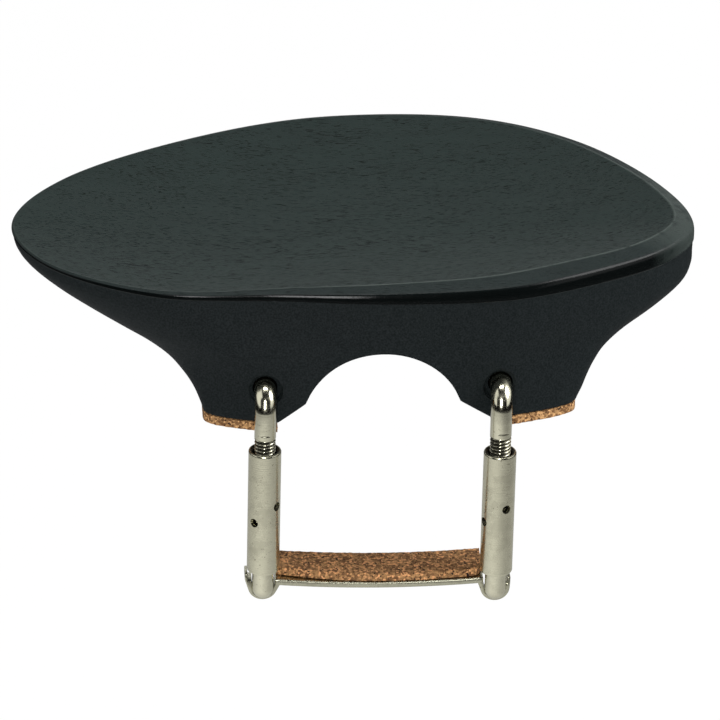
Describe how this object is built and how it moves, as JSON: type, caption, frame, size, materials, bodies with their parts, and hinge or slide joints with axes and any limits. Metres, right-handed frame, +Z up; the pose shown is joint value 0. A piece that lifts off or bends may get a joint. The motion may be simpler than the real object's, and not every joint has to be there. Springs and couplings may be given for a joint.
{
  "type": "violin chinrest",
  "caption": "Centre-mounted chinrest: dished black wooden cup on a footed, arched block, with cork pads and a turnbuckle clamp that grips the end edge of the instrument.",
  "frame": {"origin": "seat on the violin's edge: midway between the clamp legs, at the underside of the foot corks", "axes": "+X along the violin's end edge, to the right as seen from the clamp; +Y from the clamp over the violin; +Z up, out of the violin's top"},
  "size_m": [0.1262, 0.0818, 0.0645],
  "materials": {
    "black_wood": "satin black wood with fine open pores and a polished rim",
    "cork": "pressed cork granules, matte",
    "nickel": "polished nickel plate on steel"
  },
  "bodies": {
    "cup": {"chinrest": "black_wood", "left_foot_cork": "cork", "right_foot_cork": "cork", "left_hook": "nickel", "right_hook": "nickel"},
    "bracket": {"bracket_plate": "nickel", "bracket_cork": "cork", "left_stud": "nickel", "right_stud": "nickel"},
    "left_turnbuckle": {"left_barrel": "nickel"},
    "right_turnbuckle": {"right_barrel": "nickel"}
  },
  "joints": [
    {"name": "clamp_travel", "type": "slide", "parent": "cup", "child": "bracket", "axis": [0, 0, 1], "range_m": [-0.012, 0]},
    {"name": "left_barrel_turn", "type": "hinge", "parent": "bracket", "child": "left_turnbuckle", "pos_m": [-0.0215, -0.0092, -0.01475], "axis": [0, 0, 1], "range_deg": [-3100, 0]},
    {"name": "right_barrel_turn", "type": "hinge", "parent": "bracket", "child": "right_turnbuckle", "pos_m": [0.0215, -0.0092, -0.01545], "axis": [0, 0, 1], "range_deg": [-3100, 0]}
  ],
  "couplings": [
    {"joint": "left_barrel_turn", "follows": "clamp_travel", "rad_per_m": 4488},
    {"joint": "right_barrel_turn", "follows": "clamp_travel", "rad_per_m": 4488}
  ]
}
